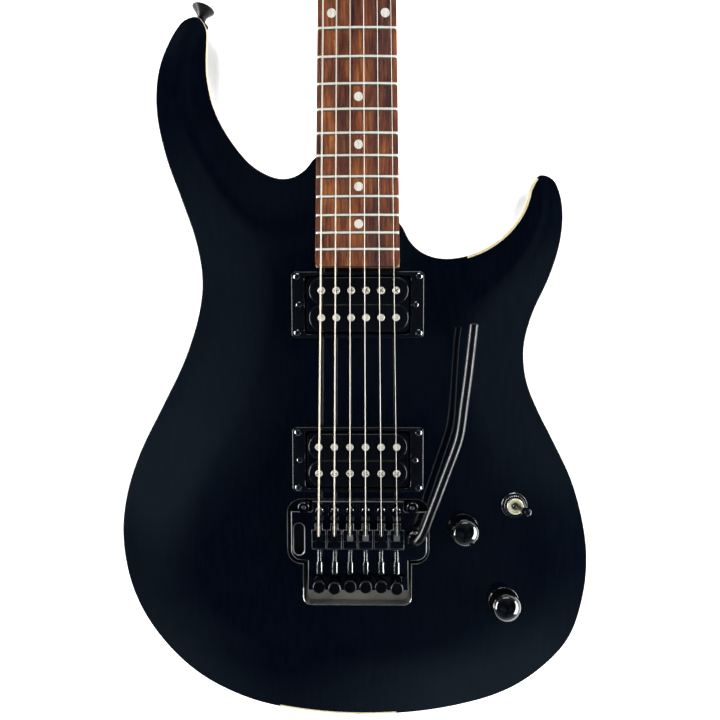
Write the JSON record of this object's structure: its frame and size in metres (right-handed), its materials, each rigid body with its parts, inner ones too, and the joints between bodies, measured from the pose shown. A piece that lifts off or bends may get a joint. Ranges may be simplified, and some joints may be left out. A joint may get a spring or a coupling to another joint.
{
  "type": "electric guitar",
  "caption": "Solid-body electric guitar with carved double-cutaway body, bolt-on neck, two humbucking pickups and a locking tremolo with its arm.",
  "frame": {"origin": "on the flat back of the body, on the centre line, 720 mm from the nut", "axes": "+X towards the treble side, +Y along the neck to the headstock, +Z out of the front"},
  "size_m": [0.3307, 0.9974, 0.0725],
  "materials": {
    "lacquer_black": "gloss black lacquer over basswood, with a thin cream line round the top edge",
    "maple": "satin",
    "rosewood": "oiled, open grain",
    "black_metal": "black plated, semi-gloss",
    "knob_black": "polished black",
    "black_plastic": "moulded, semi-gloss",
    "steel": "bright",
    "string_wire": "nickel wound and plain steel",
    "brass": "polished"
  },
  "bodies": {
    "root": {"body": "lacquer_black", "neck": "maple", "fingerboard": "rosewood", "truss_rod": "steel", "neck_plate": "black_metal", "nut_base": "black_metal", "nut_clamp_bass": "black_metal", "nut_clamp_middle": "black_metal", "nut_clamp_treble": "black_metal", "string_retainer": "black_metal", "neck_pickup_ring": "black_plastic", "neck_pickup": "black_plastic", "bridge_pickup_ring": "black_plastic", "bridge_pickup": "black_plastic", "string_1": "string_wire", "string_2": "string_wire", "string_3": "string_wire", "string_4": "string_wire", "string_5": "string_wire", "string_6": "string_wire", "tuner_housings": "black_metal", "bridge_post_bass": "black_metal", "bridge_post_treble": "black_metal", "tremolo_spring_1": "steel", "tremolo_spring_2": "steel", "tremolo_spring_3": "steel", "spring_claw": "steel", "spring_cover": "black_plastic", "control_cover": "black_plastic", "volume_pot": "steel", "tone_pot": "steel", "toggle_switch": "brass", "output_jack": "black_metal", "strap_button_upper": "black_metal", "strap_button_lower": "black_metal"},
    "tremolo": {"base_plate": "black_metal", "sustain_block": "brass", "saddles": "black_metal"},
    "arm": {"tremolo_arm": "black_metal"},
    "volume": {"volume_knob": "knob_black"},
    "tone": {"tone_knob": "knob_black"},
    "switch_lever": {"toggle_lever": "black_plastic"},
    "fine_tuner_1_knob": {"fine_tuner_1": "black_metal"},
    "fine_tuner_2_knob": {"fine_tuner_2": "black_metal"},
    "fine_tuner_3_knob": {"fine_tuner_3": "black_metal"},
    "fine_tuner_4_knob": {"fine_tuner_4": "black_metal"},
    "fine_tuner_5_knob": {"fine_tuner_5": "black_metal"},
    "fine_tuner_6_knob": {"fine_tuner_6": "black_metal"},
    "tuner_1_button": {"tuner_button_1": "black_metal"},
    "tuner_1_post": {"tuner_post_1": "black_metal"},
    "tuner_2_button": {"tuner_button_2": "black_metal"},
    "tuner_2_post": {"tuner_post_2": "black_metal"},
    "tuner_3_button": {"tuner_button_3": "black_metal"},
    "tuner_3_post": {"tuner_post_3": "black_metal"},
    "tuner_4_button": {"tuner_button_4": "black_metal"},
    "tuner_4_post": {"tuner_post_4": "black_metal"},
    "tuner_5_button": {"tuner_button_5": "black_metal"},
    "tuner_5_post": {"tuner_post_5": "black_metal"},
    "tuner_6_button": {"tuner_button_6": "black_metal"},
    "tuner_6_post": {"tuner_post_6": "black_metal"}
  },
  "joints": [
    {"name": "tremolo_rock", "type": "hinge", "parent": "root", "child": "tremolo", "pos_m": [0, 0.0754, 0.0447], "axis": [1, 0, 0], "range_deg": [-9, 5], "stiffness_Nm_per_rad": 25, "deforming": ["string_1", "string_2", "string_3", "string_4", "string_5", "string_6", "tremolo_spring_1", "tremolo_spring_2", "tremolo_spring_3"]},
    {"name": "arm_swivel", "type": "hinge", "parent": "tremolo", "child": "arm", "pos_m": [0.0388, 0.0575, 0.05], "axis": [0, 0, 1], "range_deg": [-30, 35]},
    {"name": "volume_turn", "type": "hinge", "parent": "root", "child": "volume", "pos_m": [0.0724, 0.0634, 0.05], "axis": [0, 0, 1], "range_deg": [-140, 140]},
    {"name": "tone_turn", "type": "hinge", "parent": "root", "child": "tone", "pos_m": [0.101, 0.0118, 0.05], "axis": [0, 0, 1], "range_deg": [-140, 140]},
    {"name": "switch_throw", "type": "hinge", "parent": "root", "child": "switch_lever", "pos_m": [0.1075, 0.0804, 0.0455], "axis": [0, 1, 0], "range_deg": [-36, 0]},
    {"name": "fine_tuner_1_turn", "type": "hinge", "parent": "tremolo", "child": "fine_tuner_1_knob", "pos_m": [-0.02633, 0.0265, 0.05], "axis": [0, 0, 1], "range_deg": [-540, 540]},
    {"name": "fine_tuner_2_turn", "type": "hinge", "parent": "tremolo", "child": "fine_tuner_2_knob", "pos_m": [-0.0158, 0.0265, 0.05], "axis": [0, 0, 1], "range_deg": [-540, 540]},
    {"name": "fine_tuner_3_turn", "type": "hinge", "parent": "tremolo", "child": "fine_tuner_3_knob", "pos_m": [-0.00526, 0.0265, 0.05], "axis": [0, 0, 1], "range_deg": [-540, 540]},
    {"name": "fine_tuner_4_turn", "type": "hinge", "parent": "tremolo", "child": "fine_tuner_4_knob", "pos_m": [0.00526, 0.0265, 0.05], "axis": [0, 0, 1], "range_deg": [-540, 540]},
    {"name": "fine_tuner_5_turn", "type": "hinge", "parent": "tremolo", "child": "fine_tuner_5_knob", "pos_m": [0.0158, 0.0265, 0.05], "axis": [0, 0, 1], "range_deg": [-540, 540]},
    {"name": "fine_tuner_6_turn", "type": "hinge", "parent": "tremolo", "child": "fine_tuner_6_knob", "pos_m": [0.02633, 0.0265, 0.05], "axis": [0, 0, 1], "range_deg": [-540, 540]},
    {"name": "tuner_1_turn", "type": "hinge", "parent": "root", "child": "tuner_1_button", "pos_m": [-0.0209, 0.762, 0.019], "axis": [0.9678, -0.2516, 0], "continuous": true},
    {"name": "post_1_turn", "type": "hinge", "parent": "root", "child": "tuner_1_post", "pos_m": [-0.0209, 0.762, 0.03], "axis": [0, 0, 1], "continuous": true},
    {"name": "tuner_2_turn", "type": "hinge", "parent": "root", "child": "tuner_2_button", "pos_m": [-0.01439, 0.78707, 0.019], "axis": [0.9678, -0.2516, 0], "continuous": true},
    {"name": "post_2_turn", "type": "hinge", "parent": "root", "child": "tuner_2_post", "pos_m": [-0.01439, 0.78707, 0.03], "axis": [0, 0, 1], "continuous": true},
    {"name": "tuner_3_turn", "type": "hinge", "parent": "root", "child": "tuner_3_button", "pos_m": [-0.00787, 0.81213, 0.019], "axis": [0.9678, -0.2516, 0], "continuous": true},
    {"name": "post_3_turn", "type": "hinge", "parent": "root", "child": "tuner_3_post", "pos_m": [-0.00787, 0.81213, 0.03], "axis": [0, 0, 1], "continuous": true},
    {"name": "tuner_4_turn", "type": "hinge", "parent": "root", "child": "tuner_4_button", "pos_m": [-0.00135, 0.8372, 0.019], "axis": [0.9678, -0.2516, 0], "continuous": true},
    {"name": "post_4_turn", "type": "hinge", "parent": "root", "child": "tuner_4_post", "pos_m": [-0.00135, 0.8372, 0.03], "axis": [0, 0, 1], "continuous": true},
    {"name": "tuner_5_turn", "type": "hinge", "parent": "root", "child": "tuner_5_button", "pos_m": [0.00516, 0.86227, 0.019], "axis": [0.9678, -0.2516, 0], "continuous": true},
    {"name": "post_5_turn", "type": "hinge", "parent": "root", "child": "tuner_5_post", "pos_m": [0.00516, 0.86227, 0.03], "axis": [0, 0, 1], "continuous": true},
    {"name": "tuner_6_turn", "type": "hinge", "parent": "root", "child": "tuner_6_button", "pos_m": [0.01168, 0.88733, 0.019], "axis": [0.9678, -0.2516, 0], "continuous": true},
    {"name": "post_6_turn", "type": "hinge", "parent": "root", "child": "tuner_6_post", "pos_m": [0.01168, 0.88733, 0.03], "axis": [0, 0, 1], "continuous": true}
  ],
  "couplings": [
    {"joint": "post_1_turn", "follows": "tuner_1_turn", "ratio": 0.066667},
    {"joint": "post_2_turn", "follows": "tuner_2_turn", "ratio": 0.066667},
    {"joint": "post_3_turn", "follows": "tuner_3_turn", "ratio": 0.066667},
    {"joint": "post_4_turn", "follows": "tuner_4_turn", "ratio": 0.066667},
    {"joint": "post_5_turn", "follows": "tuner_5_turn", "ratio": 0.066667},
    {"joint": "post_6_turn", "follows": "tuner_6_turn", "ratio": 0.066667}
  ]
}
